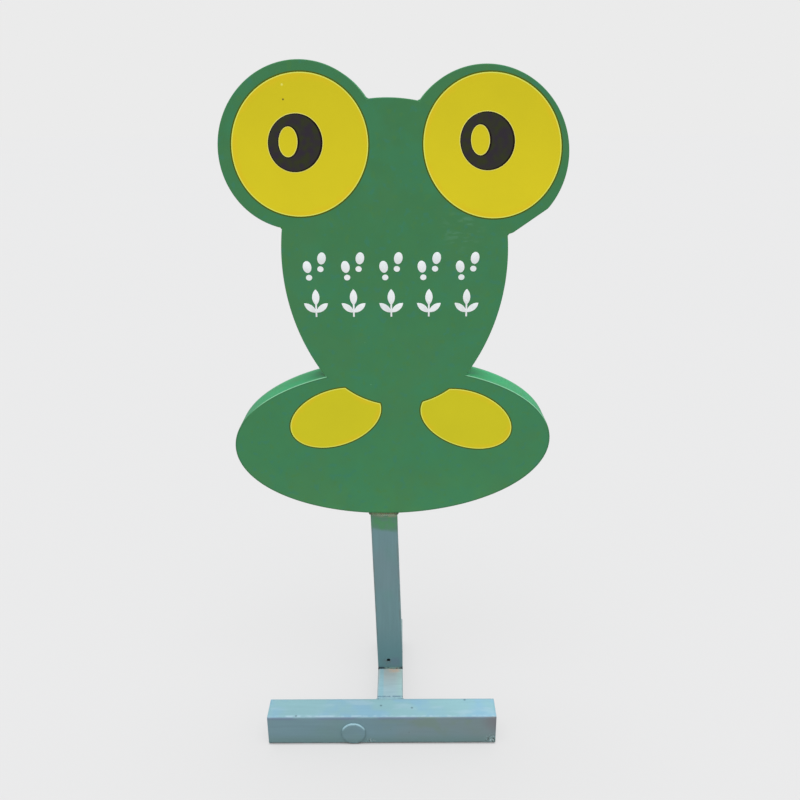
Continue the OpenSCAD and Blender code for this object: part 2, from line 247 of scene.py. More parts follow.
def piece(name, mesh, slot, *replaced):
    """Puts a mesh in the scene as a piece of the one rigid body, in place of CAD nodes."""
    outward(mesh)
    mesh.name = name
    mesh.shade_smooth()
    mesh.set_sharp_from_angle(angle=radians(35))
    made = placed(name, mesh)
    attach(made, "root")
    if replaced:
        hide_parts(*replaced)


def enamel(name, blue, grey, teal, edge_tint, stroke):
    """Brushed blue-grey enamel. The stroke is the scale that draws the brush marks out."""
    finish = Finish(name, 0.15)
    patch = finish.cloud(110 * mm).rise(0.42, 0.64)
    finish.tint = finish.mix(blue, grey, patch)
    finish.lay(teal, 0.7 * finish.cloud(60 * mm, shift=3).rise(0.5, 0.72))
    finish.brush = finish.cloud(5 * mm, stretch=stroke)
    finish.dim(0.9 + 0.2 * finish.brush)
    edge = finish.edge_wear_and_light * finish.cloud(14 * mm, shift=5).rise(0.35, 0.65)
    finish.lay(edge_tint, 0.6 * edge)
    speck = finish.grains(16 * mm, 0.8 * mm) * finish.cloud(30 * mm, shift=7).rise(0.48, 0.6)
    finish.lay((0.05, 0.055, 0.05), 0.75 * speck)
    finish.relief = finish.brush + 0.4 * finish.cloud(1.5 * mm)
    finish.dull = 0.2 * finish.cloud(20 * mm, shift=2)
    return finish


bar_low, bar_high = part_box("crossbar")
bar_mid_y = (bar_low.y + bar_high.y) / 2
tube_w, tube_h, tube_corner, tube_wall = 40 * mm, 50 * mm, 2.5 * mm, 1.5 * mm
tube_mid_z = tube_h / 2

bar_enamel = enamel("crossbar enamel", (0.166, 0.272, 0.308), (0.184, 0.256, 0.27),
                    (0.156, 0.27, 0.265), (0.2, 0.3, 0.33), (0.08, 1, 1))
bar_x, bar_y, bar_z = (bar_enamel.along(axis) for axis in range(3))
duller = bar_x.rise(-40 * mm, 160 * mm) * 0.6
bar_enamel.lay((0.18, 0.242, 0.248), duller)
olive = bar_enamel.cloud(38 * mm, shift=21).rise(0.5, 0.66) * bar_x.rise(-110 * mm, 60 * mm)
bar_enamel.lay((0.17, 0.25, 0.19), 0.5 * olive)
# The bar is darker and greener towards its bottom
darker_low = bar_z.rise(20 * mm, 6 * mm)
bar_enamel.lay((0.14, 0.238, 0.23), 0.6 * darker_low)
plum = bar_enamel.near((165 * mm, bar_low.y, 46 * mm), 40 * mm)
bar_enamel.lay((0.185, 0.17, 0.185), 0.7 * plum)
bruised_edge = bar_z.rise(43 * mm, 48 * mm)
bruised_edge = bruised_edge * bar_enamel.cloud(16 * mm, stretch=(0.5, 1, 1)).rise(0.3, 0.6)
bar_enamel.lay((0.155, 0.205, 0.29), 0.65 * bruised_edge)

faded = bar_z.rise(49.2 * mm, 49.8 * mm)
faded_tint = bar_enamel.mix((0.198, 0.346, 0.428), (0.216, 0.366, 0.386),
                            bar_enamel.cloud(55 * mm, shift=12).rise(0.42, 0.6))
chalk = bar_enamel.cloud(16 * mm, stretch=(0.35, 1, 1), shift=14).rise(0.5, 0.68)
faded_tint = bar_enamel.mix(faded_tint, (0.265, 0.392, 0.44), 0.7 * chalk)
lighter = 0.14 * bar_enamel.brush + 0.14 * bar_x.rise(-160 * mm, 120 * mm)
faded_tint = bar_enamel.shade(faded_tint, 0.86 + lighter)
# Painted highlight: a pale broken line along the front top edge of the bar
ridge_highlight = bar_y.rise(bar_low.y + 6 * mm, bar_low.y + 3 * mm)
ridge_highlight = ridge_highlight * bar_enamel.cloud(6 * mm, stretch=(0.7, 1, 1), shift=15).rise(0.36, 0.64)
faded_tint = bar_enamel.mix(faded_tint, (0.33, 0.45, 0.5), 0.65 * ridge_highlight)
# Painted shade: a greyer band along the rear rounded edge of the top
rear_edge_shade = bar_y.rise(bar_high.y - 5 * mm, bar_high.y - 1 * mm)
faded_tint = bar_enamel.mix(faded_tint, (0.2, 0.3, 0.31), 0.6 * rear_edge_shade)
bar_enamel.lay(faded_tint, faded)
for pit_x, pit_y in ((27.7, 19.6), (109.6, 36), (-19.7, 24.5), (-147.5, 3.5)):
    pit = bar_enamel.near((pit_x * mm, bar_low.y + pit_y * mm, 50 * mm), 2.6 * mm)
    bar_enamel.lay((0.07, 0.13, 0.15), 0.75 * pit)

brown_foot = bar_z.rise(3.5 * mm, 1 * mm) * bar_enamel.cloud(20 * mm, shift=8).rise(0.35, 0.55)
bar_enamel.lay((0.17, 0.17, 0.165), 0.7 * brown_foot)
chip_zone = bar_enamel.near((152 * mm, bar_low.y, 4 * mm), 17 * mm)
small_zone = bar_enamel.near((-36 * mm, bar_low.y, 2 * mm), 11 * mm)
chip = (chip_zone + 0.8 * small_zone) * bar_enamel.cloud(3.4 * mm, shift=9).rise(0.52, 0.6)
bar_enamel.lay((0.36, 0.46, 0.47), chip)
bruise = (chip_zone + 0.7 * small_zone) * bar_enamel.cloud(3 * mm, shift=11).rise(0.56, 0.63)
bar_enamel.lay((0.06, 0.065, 0.06), bruise)
bar_enamel.close(0.42 + bar_enamel.dull, bar_enamel.relief - 0.8 * chip, 0.12 * mm)


def on_bar(along, across, up):
    return (along, bar_mid_y + across, tube_mid_z + up)


bar_mesh = tube(bar_low.x, bar_high.x, (tube_w, tube_h, tube_corner), tube_wall, on_bar, bar_enamel)
piece("crossbar_tube", bar_mesh, "base_paint", "crossbar")

# Tube end plates: three pieces of 2 mm steel plate cut to the tube's outline, welded over its
# open ends and ground flush, with the outer edge eased. They are painted with the tube.


def end_plate(name, node, place):
    """A plate whose outer side is at depth 0 and whose inner side lies on the tube's end."""
    thick, ease, groove = 2 * mm, 0.9 * mm, 0.25 * mm
    profile = [(thick, groove), (thick - 0.5 * mm, 0.0), *quarter(ease),
               (-0.03 * mm, 4 * mm), (0.05 * mm, 9 * mm), (0.08 * mm, 15 * mm)]
    rings, edge_wear_and_light = [], []
    for depth, inset in profile:
        rows = section(tube_w - 2 * inset, tube_h - 2 * inset, max(tube_corner - inset, 1 * mm))
        rings.append([place(depth, row[0], row[1]) for row in rows])
        edge_wear_and_light += [1.0 if 0 < inset <= ease else 0.0] * len(rows)
    piece(name, solid(*skin(rings), bar_enamel, edge_wear_and_light), "base_paint", node)


left_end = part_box("crossbar_left_plate")[0].x
right_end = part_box("crossbar_right_plate")[1].x
tail_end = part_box("tail_end_plate")[1].y
tail_low, tail_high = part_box("tail_beam")
tail_mid_x = (tail_low.x + tail_high.x) / 2
end_plate("left_end_cap", "crossbar_left_plate",
          lambda depth, across, up: on_bar(left_end + depth, across, up))
end_plate("right_end_cap", "crossbar_right_plate",
          lambda depth, across, up: on_bar(right_end - depth, across, up))
end_plate("tail_end_cap", "tail_end_plate",
          lambda depth, across, up: (tail_mid_x + across, tail_end - depth, tube_mid_z + up))

# Round cover: a 34 mm steel disc over a hole in the crossbar's front. A thin bead of weld runs
# round its edge, and both are painted with the bar.

cover_low, cover_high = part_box("round_cover")
cover_x, cover_z = (cover_low.x + cover_high.x) / 2, (cover_low.z + cover_high.z) / 2
cover_r = (cover_high.x - cover_low.x) / 2
cover_rise = cover_high.y - cover_low.y


def circle(radius, count=96):
    return [(radius * cos(tau * i / count), radius * sin(tau * i / count))
            for i in range(count)]


cover_profile = [(cover_r, 0.0)] + [(cover_r - b, cover_rise - a) for a, b in quarter(0.7 * mm)]
cover_profile += [(cover_r - 4 * mm, cover_rise), (8 * mm, cover_rise - 0.15 * mm),
                  (3 * mm, cover_rise - 0.2 * mm)]
cover_rings = [[(cover_x + a, cover_high.y - rise, cover_z + b) for a, b in circle(radius)]
               for radius, rise in cover_profile]
piece("cover_disc", solid(*skin(cover_rings), bar_enamel), "base_paint", "round_cover")


class Growth(Tree):
    """A geometry tree with named inputs, which is run once on a mesh."""

    def __init__(self, name):
        super().__init__(bpy.data.node_groups.new(name, "GeometryNodeTree"))
        self.tree.interface.new_socket("Geometry", in_out="OUTPUT",
                                       socket_type="NodeSocketGeometry")
        self.entry = self.nodes.new("NodeGroupInput")
        self.start = self.ask("Geometry", "NodeSocketGeometry")
        self.finish = self.ask("Finish", "NodeSocketMaterial")

    def ask(self, name, kind="NodeSocketFloat"):
        self.tree.interface.new_socket(name, in_out="INPUT", socket_type=kind)
        return Wire(self, self.entry.outputs[name])

    def close(self, shape):
        whole = self.add("GeometryNodeRealizeInstances", {}, {"Geometry": shape})
        dressed = self.add("GeometryNodeSetMaterial", {},
                           {"Geometry": whole, "Material": self.finish})
        self.add("NodeGroupOutput", {}, {0: dressed})
        return self

    def run(self, mesh, finish, sizes):
        """What the tree makes of a mesh, as a plain mesh."""
        host = placed("growth host", mesh)
        modifier = host.modifiers.new("growth", "NODES")
        modifier.node_group = self.tree
        values = {"Finish": finish.material, **sizes}
        for item in self.tree.interface.items_tree:
            if item.in_out == "INPUT" and item.name in values:
                modifier[item.identifier] = values[item.name]
        return settled(host)


def settled(host):
    """The plain mesh that an object's modifiers make. The object is used up."""
    bpy.context.view_layer.update()
    graph = bpy.context.evaluated_depsgraph_get()
    made = bpy.data.meshes.new_from_object(host.evaluated_get(graph),
                                           preserve_all_data_layers=True, depsgraph=graph)
    bpy.data.objects.remove(host)
    return made


weld_tree = Growth("weld bead")
bead_radius = weld_tree.ask("Bead Radius")
ripple_pitch = weld_tree.ask("Ripple Pitch")
ripple_depth = weld_tree.ask("Ripple Depth")
lumpiness = weld_tree.ask("Lumpiness")
steps_per_ripple, bead_sides = 5, 14
swells_per_metre, lumps_per_metre = 160, 450
bead_line = weld_tree.add("GeometryNodeMeshToCurve", {}, {0: weld_tree.start})
bead_line = weld_tree.add("GeometryNodeResampleCurve", {"mode": "LENGTH"},
                          {"Curve": bead_line, "Length": ripple_pitch / steps_per_ripple})
travelled = weld_tree.add("GeometryNodeSplineParameter", output="Length")
swell = weld_tree.add("ShaderNodeTexNoise", {}, {"Scale": swells_per_metre, "Detail": 1.0})
girth = (1 - ripple_depth * (travelled / ripple_pitch).fraction()) * (0.8 + 0.4 * swell)
bead_profile = weld_tree.add("GeometryNodeCurvePrimitiveCircle", {},
                             {"Resolution": bead_sides, "Radius": bead_radius})
bead_skin = weld_tree.add("GeometryNodeCurveToMesh", {},
                          {"Curve": bead_line, "Profile Curve": bead_profile, "Scale": girth,
                           "Fill Caps": True})
lump = weld_tree.add("ShaderNodeTexNoise", {}, {"Scale": lumps_per_metre, "Detail": 1.0}, "Color")
lump = weld_tree.add("ShaderNodeVectorMath", {"operation": "SUBTRACT"},
                     {0: lump, 1: (0.5, 0.5, 0.5)})
lump = weld_tree.add("ShaderNodeVectorMath", {"operation": "SCALE"},
                     {"Vector": lump, "Scale": lumpiness})
bead_skin = weld_tree.add("GeometryNodeSetPosition", {}, {"Geometry": bead_skin, "Offset": lump})
weld_tree.close(bead_skin)


def bead(paths, radius, finish, depth, closed=False):
    """Weld beads along open or closed paths of points. Their ripples cut that share of the girth."""
    points, edges = [], []
    for path in paths:
        first = len(points)
        points += path
        edges += [(i, i + 1) for i in range(first, len(points) - 1)]
        if closed:
            edges.append((len(points) - 1, first))
    mesh = bpy.data.meshes.new("bead")
    mesh.from_pydata(points, edges, [])
    return weld_tree.run(mesh, finish, {"Bead Radius": radius, "Ripple Pitch": 1.1 * radius,
                                        "Ripple Depth": depth, "Lumpiness": 0.35 * radius})


cover_enamel = Finish("cover bead enamel", 0.15)
# Painted highlight: the upper arc of the bead is made pale
cover_top_highlight = cover_enamel.along(2).rise(cover_z + 4 * mm, cover_z + 11 * mm)
cover_enamel.tint = cover_enamel.mix((0.15, 0.25, 0.27), (0.33, 0.5, 0.54), 0.95 * cover_top_highlight)
cover_enamel.dim(0.8 + 0.4 * cover_enamel.cloud(5 * mm))
cover_enamel.close(0.5 + 0.2 * cover_enamel.cloud(9 * mm), cover_enamel.cloud(1 * mm), 0.1 * mm)
cover_ring = [(cover_x + a, cover_high.y - 0.4 * mm, cover_z + b)
              for a, b in circle(cover_r + 0.3 * mm)]
piece("cover_bead", bead([cover_ring], 1.6 * mm, cover_enamel, 0.12, closed=True),
      "base_paint", "cover_weld")

# Tail beam: the same tube as the crossbar, butted against the crossbar's back and running to the
# rear under the post, so that the sign can't tip over. Its top has bleached too, and a little rust
# has run onto it from the foot weld.

tail_enamel = enamel("tail enamel", (0.175, 0.28, 0.315), (0.185, 0.265, 0.285),
                     (0.165, 0.272, 0.28), (0.22, 0.32, 0.35), (0.12, 1, 1))
seam_y, tail_foot_y = bar_high.y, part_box("post")[0].y
tail_x, tail_y, tail_z = (tail_enamel.along(axis) for axis in range(3))
bleached = tail_enamel.mix((0.275, 0.39, 0.42), (0.3, 0.336, 0.322),
                           tail_y.rise(seam_y + 8 * mm, tail_foot_y - 4 * mm))
left_column = tail_x.rise(-25 * mm, -22 * mm) * tail_x.rise(-15 * mm, -18 * mm)
bleached = tail_enamel.mix(bleached, (0.19, 0.37, 0.42), 0.6 * left_column)
bleached = tail_enamel.mix(bleached, (0.27, 0.42, 0.39), 0.5 * tail_x.rise(0, 10 * mm))
streak = tail_enamel.cloud(4.5 * mm, stretch=(0.15, 1, 1), shift=13)
bleached = tail_enamel.shade(bleached, 0.86 + 0.28 * streak)
tail_enamel.lay(bleached, tail_z.rise(48.4 * mm, 49.6 * mm))
toe = tail_y.rise(seam_y + 2.5 * mm, seam_y + 3.5 * mm)
toe = toe * tail_y.rise(seam_y + 6 * mm, seam_y + 5 * mm)
toe = toe * tail_enamel.cloud(6 * mm, shift=17).rise(0.36, 0.5)
tail_enamel.lay((0.1, 0.175, 0.225), 0.9 * toe)
for rust_x in (-3, 4):
    bead_rust = tail_enamel.near((rust_x * mm, tail_foot_y - 4 * mm, 50 * mm), 10 * mm)
    bead_rust = bead_rust * tail_enamel.cloud(4 * mm, shift=4).rise(0.3, 0.55)
    tail_enamel.lay((0.46, 0.34, 0.25), 0.7 * bead_rust)
tail_enamel.close(0.42 + tail_enamel.dull, tail_enamel.relief, 0.12 * mm)


def on_tail(along, across, up):
    return (tail_mid_x + across, along, tube_mid_z + up)


tail_mesh = tube(tail_low.y, tail_high.y, (tube_w, tube_h, tube_corner), tube_wall, on_tail, tail_enamel)
piece("tail_tube", tail_mesh, "base_paint", "tail_beam")

# Tail weld: a flat bead over the top of the seam and one in each upright corner beside the tail.
# Blue-grey paint covers them, a little darker in their pits.


def weld_finish(name, paint, rust, dark, share, burnt=(), highlight_below=0.0):
    """A bead's paint with that share of rust, dark in its pits and at its burnt ends, and with a pale
    painted highlight under a height."""
    finish = Finish(name)
    blotch = finish.cloud(7 * mm, shift=6)
    finish.tint = finish.mix(paint, rust, blotch.rise(0.68 - share, 0.82 - share))
    pit = finish.cloud(3 * mm, shift=8).rise(0.52, 0.6)
    finish.lay(dark, pit)
    # Painted highlight: the bead's lower side is made pale, more so towards the right
    low_highlight = finish.along(2).rise(highlight_below, highlight_below - 1 * mm)
    low_highlight = low_highlight * (0.6 + 0.4 * finish.along(0).rise(-30 * mm, -10 * mm))
    finish.lay((0.34, 0.43, 0.31), low_highlight)
    for end in burnt:
        finish.lay(dark, 0.9 * finish.near(end, 7 * mm))
    return finish.close(0.6 + 0.3 * blotch, finish.cloud(1 * mm), 0.3 * mm)


tail_bead_finish = weld_finish("seam bead", (0.235, 0.375, 0.41), (0.25, 0.37, 0.39),
                               (0.2, 0.33, 0.37), 0.2)
tail_paths = [[(tail_low.x + tube_corner + i * 2.5 * mm, seam_y, 48.4 * mm) for i in range(15)]]
for side_x in (tail_low.x, tail_high.x):
    tail_paths.append([(side_x, seam_y, tube_corner + i * 2.5 * mm) for i in range(19)])
piece("tail_beads", bead(tail_paths, 2.8 * mm, tail_bead_finish, 0.1), "rusty_weld", "tail_weld")

# Post: a 40 mm square steel tube that stands on the tail beam, leans 1.6 degrees to the left and
# runs up inside the sign. A 6 mm hole low in its front drains it. Green paint has drifted onto its
# upper end, and pale filler is smeared just under the sign.

post_low, post_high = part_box("post")
post_w, post_corner, post_wall = 40 * mm, 3 * mm, 2 * mm
post_mid_y = (post_low.y + post_high.y) / 2
post_lean = radians(1.6)
foot_x, foot_z = tail_mid_x, 50 * mm
collar_z = 338 * mm
drain_x, drain_z = foot_x - 3 * mm, foot_z + 16 * mm
drain_r = 3 * mm

post_enamel = enamel("post enamel", (0.150, 0.258, 0.272), (0.160, 0.246, 0.262),
                     (0.134, 0.262, 0.25), (0.15, 0.172, 0.155), (1, 1, 0.08))
post_x = post_enamel.along(0)
post_up = post_enamel.along(2)
darker = post_up.rise(150 * mm, 70 * mm)
post_enamel.lay((0.121, 0.243, 0.259), 0.85 * darker)
drift_edge = collar_z - 34 * mm - 0.14 * post_x + 5 * mm * post_enamel.cloud(9 * mm, shift=5)
drift = post_up.rise(drift_edge - 4 * mm, drift_edge + 3 * mm)
drift = drift * (0.8 + 0.2 * post_enamel.cloud(5 * mm, shift=1))
drift_tint = post_enamel.mix((0.094, 0.222, 0.138), (0.076, 0.248, 0.1),
                             post_enamel.cloud(14 * mm, shift=6).rise(0.4, 0.6))
post_enamel.lay(drift_tint, drift)
stained = post_enamel.near((2 * mm, post_low.y, foot_z + 13 * mm), 13 * mm)
post_enamel.lay((0.14, 0.195, 0.26), 0.5 * stained)
ring_rust = post_enamel.near((drain_x - 3 * mm, post_low.y, drain_z - 3 * mm), 9 * mm)
ring_rust = ring_rust * post_enamel.cloud(4 * mm, shift=3).rise(0.35, 0.6)
post_enamel.lay((0.16, 0.13, 0.12), 0.6 * ring_rust)
filler = post_up.rise(collar_z - 9 * mm, collar_z - 6 * mm) * post_x.rise(-36 * mm, -12 * mm)
filler = filler * post_enamel.cloud(5 * mm, stretch=(0.4, 1, 1), shift=9).rise(0.3, 0.55)
post_enamel.lay((0.29, 0.31, 0.2), 0.75 * filler)
post_enamel.close(0.45 + post_enamel.dull, post_enamel.relief, 0.12 * mm)


def on_post(along, across, up):
    """A point of the leaning post at a height above the ground. Its cuts are level."""
    return (foot_x + across / cos(post_lean) - (along - foot_z) * tan(post_lean),
            post_mid_y + up, along)


def cut(mesh, tool):
    """Cuts one closed mesh out of another."""
    host, knife = placed("cut host", outward(mesh)), placed("cut knife", outward(tool))
    modifier = host.modifiers.new("cut", "BOOLEAN")
    modifier.operation = "DIFFERENCE"
    modifier.solver = "EXACT"
    modifier.object = knife
    made = settled(host)
    bpy.data.objects.remove(knife)
    return made


post_mesh = tube(foot_z, post_high.z, (post_w, post_w, post_corner), post_wall, on_post, post_enamel)
drill_rings = [[(drain_x + a, post_low.y + y, drain_z + b) for a, b in circle(drain_r, 32)]
               for y in (-1 * mm, post_wall + 1 * mm)]
drill = solid(*skin(drill_rings), post_enamel)
piece("post_tube", cut(post_mesh, drill), "post_paint", "post")

# Foot weld: one bead in front of the post and one behind it, on top of the tail beam. The paint
# has broken over the beads, and they rust.

foot_ends = [(foot_x + offset * mm, post_low.y, foot_z) for offset in (-18, -13, 20)]
foot_bead_finish = weld_finish("foot bead", (0.14, 0.24, 0.21), (0.34, 0.25, 0.18),
                               (0.02, 0.035, 0.045), 0.12, foot_ends)
foot_paths = [[(foot_x - post_w / 2 + i * 2 * mm, foot_y, foot_z + 0.4 * mm) for i in range(21)]
              for foot_y in (post_low.y, post_high.y)]
piece("foot_beads", bead(foot_paths, 2.2 * mm, foot_bead_finish, 0.4), "rusty_weld", "foot_weld")

# Ribs: flat steel strips inside the sign, which hold its two faces apart. They are bare mill
# steel with a little rust, and nothing of them shows outside.

rib_steel = Finish("mill steel", 0.5)
rib_steel.tint = rib_steel.mix((0.42, 0.42, 0.41), (0.3, 0.3, 0.3),
                               rib_steel.cloud(4 * mm, stretch=(0.1, 1, 1)))
rib_steel.lay((0.22, 0.1, 0.04), rib_steel.cloud(30 * mm).rise(0.55, 0.7))
rib_steel.close(0.4 + 0.3 * rib_steel.cloud(12 * mm), rib_steel.cloud(2 * mm), 0.05 * mm)
rib_steel.shader.inputs["Metallic"].default_value = 0.9
for rib in ("head_rib", "eye_rib", "body_rib_left", "body_rib_right"):
    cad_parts[rib].data.materials.clear()
    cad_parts[rib].data.materials.append(rib_steel.material)

# Edge bands: strips of 1.5 mm sheet, bent to the sign's outline from corner to corner and welded
# between its two faces. The body's strip is in two halves, notched where the post passes through.
# The satin green paint is paler toward the rear edge. Painted light makes it brighter on the right, and
# painted shade darker low on the body's strip.

sheet_t = 1.5 * mm
face_y, back_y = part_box("face_panel")[0].y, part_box("back_panel")[1].y

middles = {"body": (0.0, 452.5 * mm), "head": (5 * mm, 721 * mm),
           "left_eye": (-116 * mm, 861 * mm), "right_eye": (123 * mm, 853 * mm)}
ovals = {"body": (456 * mm, 229 * mm, radians(1.8)),
         "left_eye": (209 * mm, 200.5 * mm, radians(48)),
         "right_eye": (213.5 * mm, 205 * mm, radians(-48))}
head_w, head_side_r = 301 * mm, 288 * mm
crown_rise, crown_r, crown_shift = 199 * mm, 200 * mm, -9 * mm
flat_depth, flat_angle = 3.75 * mm, radians(-55)


def exit_from(x, z, radius, angle):
    """How far a ray from the origin runs before it leaves a circle round (x, z)."""
    ahead = x * cos(angle) + z * sin(angle)
    return ahead + sqrt(ahead * ahead - x * x - z * z + radius * radius)


def oval_reach(size, angle, inset):
    """Distance from an oval's middle to its edge, with the edge moved inwards by an inset."""
    length, width, tilt = size
    a, b, turned = length / 2 - inset, width / 2 - inset, angle - tilt
    return a * b / hypot(b * cos(turned), a * sin(turned))


def on_oval(middle, size, angle, inset):
    far = oval_reach(size, angle, inset)
    return (middle[0] + far * cos(angle), middle[1] + far * sin(angle))


def reach(shape, angle, inset):
    """Distance from the middle of one of the sign's four shapes to its edge, moved inwards too."""
    if shape == "head":
        side = head_side_r - head_w / 2
        return min(exit_from(side, 0, head_side_r - inset, angle),
                   exit_from(-side, 0, head_side_r - inset, angle),
                   exit_from(crown_shift, crown_rise - crown_r, crown_r - inset, angle))
    far, toward = oval_reach(ovals[shape], angle, inset), cos(angle - flat_angle)
    if shape == "right_eye" and toward > 0.5:
        far = min(far, (ovals[shape][0] / 2 - flat_depth - inset) / toward)
    return far


def edge(shape, angle, inset):
    x, z = middles[shape]
    far = reach(shape, angle, inset)
    return (x + far * cos(angle), z + far * sin(angle))


def free(shape, angle, inset):
    """Whether that point of the shape's edge lies outside all the other shapes."""
    x, z = edge(shape, angle, inset)
    for other, (other_x, other_z) in middles.items():
        turn = atan2(z - other_z, x - other_x)
        gap = hypot(x - other_x, z - other_z) - reach(other, turn, inset)
        if other != shape and gap < 0:
            return False
    return True


def clear_span(is_clear, guess, step):
    """The two ends of the clear stretch of an edge that holds the guessed angle, found by halving."""
    ends = []
    for way in (-radians(step), radians(step)):
        turn = radians(guess)
        while is_clear(turn):
            turn += way
        covered, clear = turn, turn - way
        for _ in range(40):
            middle = (covered + clear) / 2
            covered, clear = (covered, middle) if is_clear(middle) else (middle, clear)
        ends.append(clear)
    return ends


def run_of(shape, guess, count, inset):
    """The free run of a shape's edge that holds the guessed angle, as evenly spaced points."""
    fine_count = 1200
    low, high = clear_span(lambda angle: free(shape, angle, inset), guess, 1)
    fine = [edge(shape, low + (high - low) * i / fine_count, inset) for i in range(fine_count + 1)]
    gone = [0.0]
    for a, b in zip(fine, fine[1:]):
        gone.append(gone[-1] + dist(a, b))
    points, at = [], 0
    for i in range(count + 1):
        wanted = gone[-1] * i / count
        while at < fine_count - 1 and gone[at + 1] < wanted:
            at += 1
        share = (wanted - gone[at]) / (gone[at + 1] - gone[at])
        points.append(tuple(p + (q - p) * share for p, q in zip(fine[at], fine[at + 1])))
    return points


# The runs in order round the outline, anticlockwise as seen from the front, from the left waist
runs = {"body": ("body", 270, 360), "right_cheek": ("head", 0, 60), "right_eye": ("right_eye", 20, 200),
        "crown": ("head", 90, 24), "left_eye": ("left_eye", 160, 200), "left_cheek": ("head", 180, 60)}


def outline(inset):
    return {name: run_of(shape, guess, count, inset) for name, (shape, guess, count) in runs.items()}


def ring_of(arcs):
    """One closed ring from the runs, with each shared corner taken once."""
    return [point for arc in arcs.values() for point in arc[:-1]]


def green_finish(name, shine, low, high):
    """Satin green paint, from a low to a high tint. Over 0 the edge mark is a pale painted highlight,
    partly rubbed paint, and under 0 it is painted shade.
    """
    finish = Finish(name, shine)
    finish.tint = finish.mix(low, high, finish.along(2).rise(380 * mm, 960 * mm))
    finish.lay((0.048, 0.224, 0.078), finish.along(2).rise(425 * mm, 345 * mm))
    olive = finish.cloud(70 * mm, shift=11).rise(0.45, 0.62)
    finish.lay((0.052, 0.192, 0.066), 0.4 * olive)
    teal = finish.cloud(48 * mm, shift=19).rise(0.48, 0.64)
    finish.lay((0.032, 0.212, 0.096), 0.4 * teal)
    fleck = finish.cloud(9 * mm, detail=1, shift=27)
    finish.lay((0.03, 0.195, 0.13), 0.4 * fleck.rise(0.6, 0.74))
    finish.lay((0.055, 0.2, 0.045), 0.4 * fleck.rise(0.38, 0.27))
    finish.mottle = finish.cloud(22 * mm, shift=4)
    finish.dim(0.94 + 0.12 * finish.mottle)
    # Painted highlight on the sheets' rim, partly rubbed paint, and painted shade where the edge mark is
    # below 0
    rim_wear_and_highlight = finish.edge_wear_and_light * (0.7 + 0.3 * finish.cloud(9 * mm, shift=2))
    finish.lay((0.25, 0.58, 0.34), 0.9 * rim_wear_and_highlight)
    finish.lay((0.02, 0.085, 0.03), -0.8 * finish.edge_wear_and_light)
    nib = finish.grains(45 * mm, 1.1 * mm, shift=1) * finish.cloud(60 * mm, shift=9).rise(0.52, 0.6)
    finish.lay((0.12, 0.36, 0.17), 0.6 * nib)
    finish.relief = finish.cloud(2.2 * mm, detail=1) + 2 * nib
    return finish


band_green = green_finish("green paint on the bands", 0.08, (0.024, 0.29, 0.106), (0.04, 0.235, 0.09))
band_green.lay((0.14, 0.36, 0.22), 0.4 * band_green.along(1).rise(back_y - 12 * mm, back_y))
# Painted light: the bands get lighter toward the right, and painted shade darkens them low on the body
painted_light_right = 0.2 * band_green.along(0).rise(-60 * mm, 120 * mm)
band_green.dim(1 + painted_light_right - 0.32 * band_green.along(2).rise(545 * mm, 480 * mm))
band_green.close(0.4 + 0.16 * band_green.mottle, band_green.relief, 0.05 * mm)

outer_edge, inner_edge = outline(0.0), outline(sheet_t)
band_front, band_back = face_y + sheet_t, back_y - sheet_t
depths = [band_front + (band_back - band_front) * i / 8 for i in range(9)]


def band(outer, inner):
    """A closed strip between two matching runs of points."""
    rings = [[(a[0], y, a[1]) for y in depths] + [(b[0], y, b[1]) for y in reversed(depths)]
             for a, b in zip(outer, inner)]
    return skin(rings)


for run in ("left_eye", "right_eye", "crown", "left_cheek", "right_cheek"):
    band_mesh = solid(*band(outer_edge[run], inner_edge[run]), band_green)
    piece(run + "_strip", band_mesh, "green_paint", run + "_band")

collar_x = foot_x - (collar_z - foot_z) * tan(post_lean)
body_outer, body_inner = outer_edge["body"], inner_edge["body"]
underside = range(100, 260)
parting = min(underside, key=lambda i: abs(body_outer[i][0] - collar_x))
notch_w = post_w + 0.2 * mm
notch_rings = [[on_post(z, row[0], row[1]) for row in section(notch_w, notch_w, post_corner)]
               for z in (300 * mm, 400 * mm)]
for side, span in (("left", slice(0, parting + 1)), ("right", slice(parting, None))):
    strip = solid(*band(body_outer[span], body_inner[span]), band_green)
    notch = solid(*skin(notch_rings), band_green)
    piece("body_strip_" + side, cut(strip, notch), "green_paint", "body_band_" + side)

# Front and back sheets: two sheets of 1.5 mm steel, a little wavy, cut to the whole outline and welded
# to the bands all round. The welds are ground to a small round edge. On the body's shoulders that edge
# has a pale painted highlight, partly rubbed paint, with a thin painted shadow just inside it. The
# body's lower edges have painted shade. Rain has left faint streaks on the back.


def finder(ring):
    """A tree that finds how near a point lies to those of a ring."""
    found = kdtree.KDTree(len(ring))
    for i, (x, z) in enumerate(ring):
        found.insert((x, z, 0), i)
    found.balance()
    return found


rim = finder([point for arc in outer_edge.values() for point in arc])


def wave(x, z):
    """How far the sheet stands out between its edges."""
    height, length, flat_rim = 0.3 * mm, 110 * mm, 45 * mm
    fade = min(1.0, rim.find((x, z, 0))[2] / flat_rim)
    return height * fade * noise.noise(Vector((x, 0.0, z)) / length)


def on_face(x, z, lift):
    return (x, face_y - lift - wave(x, z), z)


def on_back(x, z, lift):
    return (x, back_y + lift + wave(x, z), z)


def filled(ring, spots):
    """Triangles that fill a flat ring, with further points inside it."""
    flat = [Vector(point) for point in ring + spots]
    found = delaunay_2d_cdt(flat, [], [list(range(len(ring)))], 1, 1e-8)
    return [tuple(found[3][i][0] for i in face) for face in found[2]]


